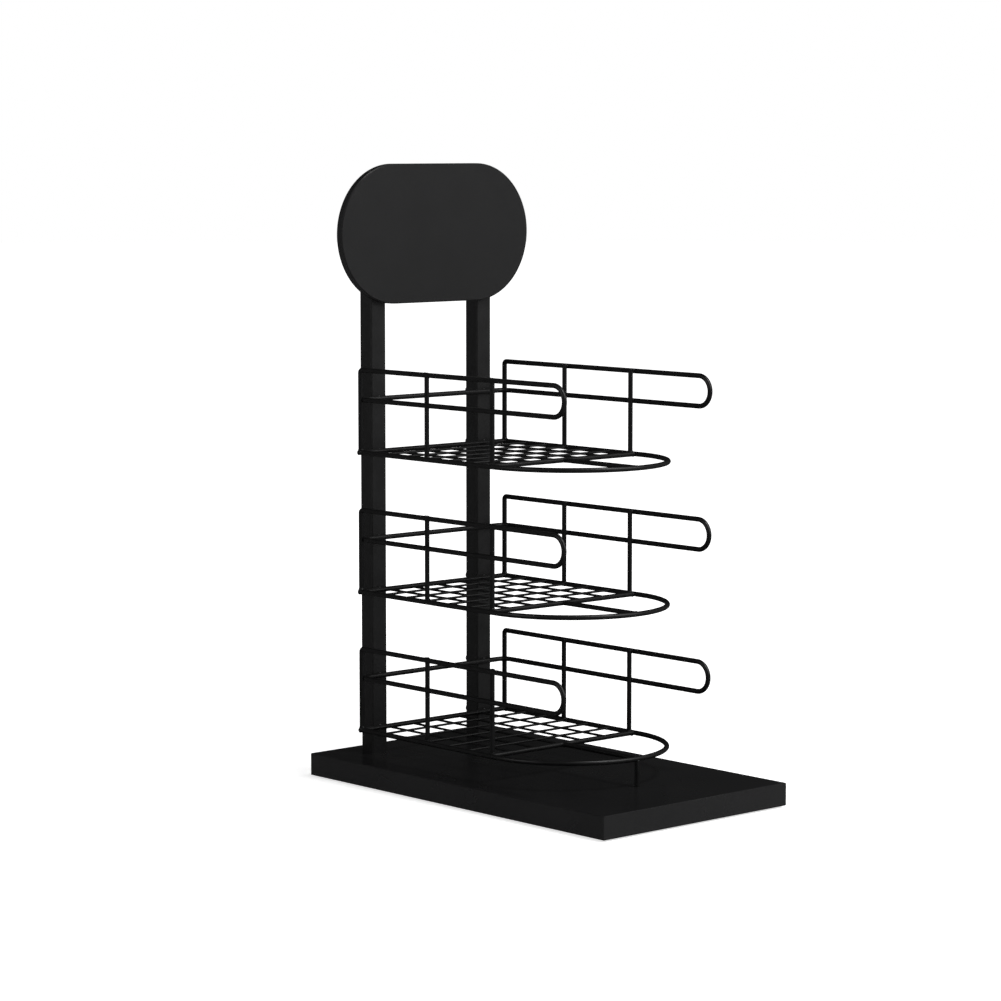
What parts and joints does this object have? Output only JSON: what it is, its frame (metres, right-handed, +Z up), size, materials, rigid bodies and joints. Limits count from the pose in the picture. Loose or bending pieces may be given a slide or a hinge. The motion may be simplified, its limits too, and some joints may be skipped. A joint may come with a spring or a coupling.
{
  "type": "nail polish rack",
  "caption": "Free-standing tiered wire rack for nail polish bottles: board base, square posts, round-fronted mesh shelves with looped side rails and a blank oval header sign.",
  "frame": {"origin": "middle of the base on the surface that the rack stands on, under the rubber pads", "axes": "+Z up, -Y towards the open round front of the shelves, +X to the right as seen from the front"},
  "size_m": [0.199, 0.345, 0.4971],
  "materials": {
    "base_lacquer": "black semi-gloss lacquer on a flat board",
    "pad_rubber": "matt black rubber",
    "post_coat": "satin black powder coat",
    "wire_coat": "semi-gloss black powder coat",
    "cap_plastic": "fine-textured black moulding",
    "sign_plastic": "satin black sheet with eased edges",
    "bare_steel": "zinc-plated",
    "insert_brass": "turned brass",
    "black_screw": "black oxide"
  },
  "bodies": {
    "root": {"base_board": "base_lacquer", "base_pads": "pad_rubber", "post_left": "post_coat", "post_right": "post_coat", "post_cap_left": "cap_plastic", "post_cap_right": "cap_plastic", "post_insert_left": "bare_steel", "post_insert_right": "bare_steel", "base_bolts": "bare_steel", "base_washers": "bare_steel", "front_leg": "wire_coat", "sign_board": "sign_plastic", "sign_inserts": "insert_brass", "sign_screws": "black_screw", "sign_washers": "black_screw", "shelf_nuts": "bare_steel", "shelf_washers": "bare_steel", "bottom_rail": "wire_coat", "bottom_floor_frame": "wire_coat", "bottom_back_bar": "wire_coat", "bottom_cross_bar": "wire_coat", "bottom_centre_spoke": "wire_coat", "bottom_mesh_floor": "wire_coat", "bottom_upright_left_mid": "wire_coat", "bottom_upright_left_front": "wire_coat", "bottom_upright_right_mid": "wire_coat", "bottom_upright_right_front": "wire_coat", "bottom_studs": "bare_steel", "middle_rail": "wire_coat", "middle_floor_frame": "wire_coat", "middle_back_bar": "wire_coat", "middle_cross_bar": "wire_coat", "middle_centre_spoke": "wire_coat", "middle_mesh_floor": "wire_coat", "middle_upright_left_mid": "wire_coat", "middle_upright_left_front": "wire_coat", "middle_upright_right_mid": "wire_coat", "middle_upright_right_front": "wire_coat", "middle_studs": "bare_steel", "top_rail": "wire_coat", "top_floor_frame": "wire_coat", "top_back_bar": "wire_coat", "top_cross_bar": "wire_coat", "top_centre_spoke": "wire_coat", "top_mesh_floor": "wire_coat", "top_upright_left_mid": "wire_coat", "top_upright_left_front": "wire_coat", "top_upright_right_mid": "wire_coat", "top_upright_right_front": "wire_coat", "top_studs": "bare_steel"}
  },
  "joints": []
}
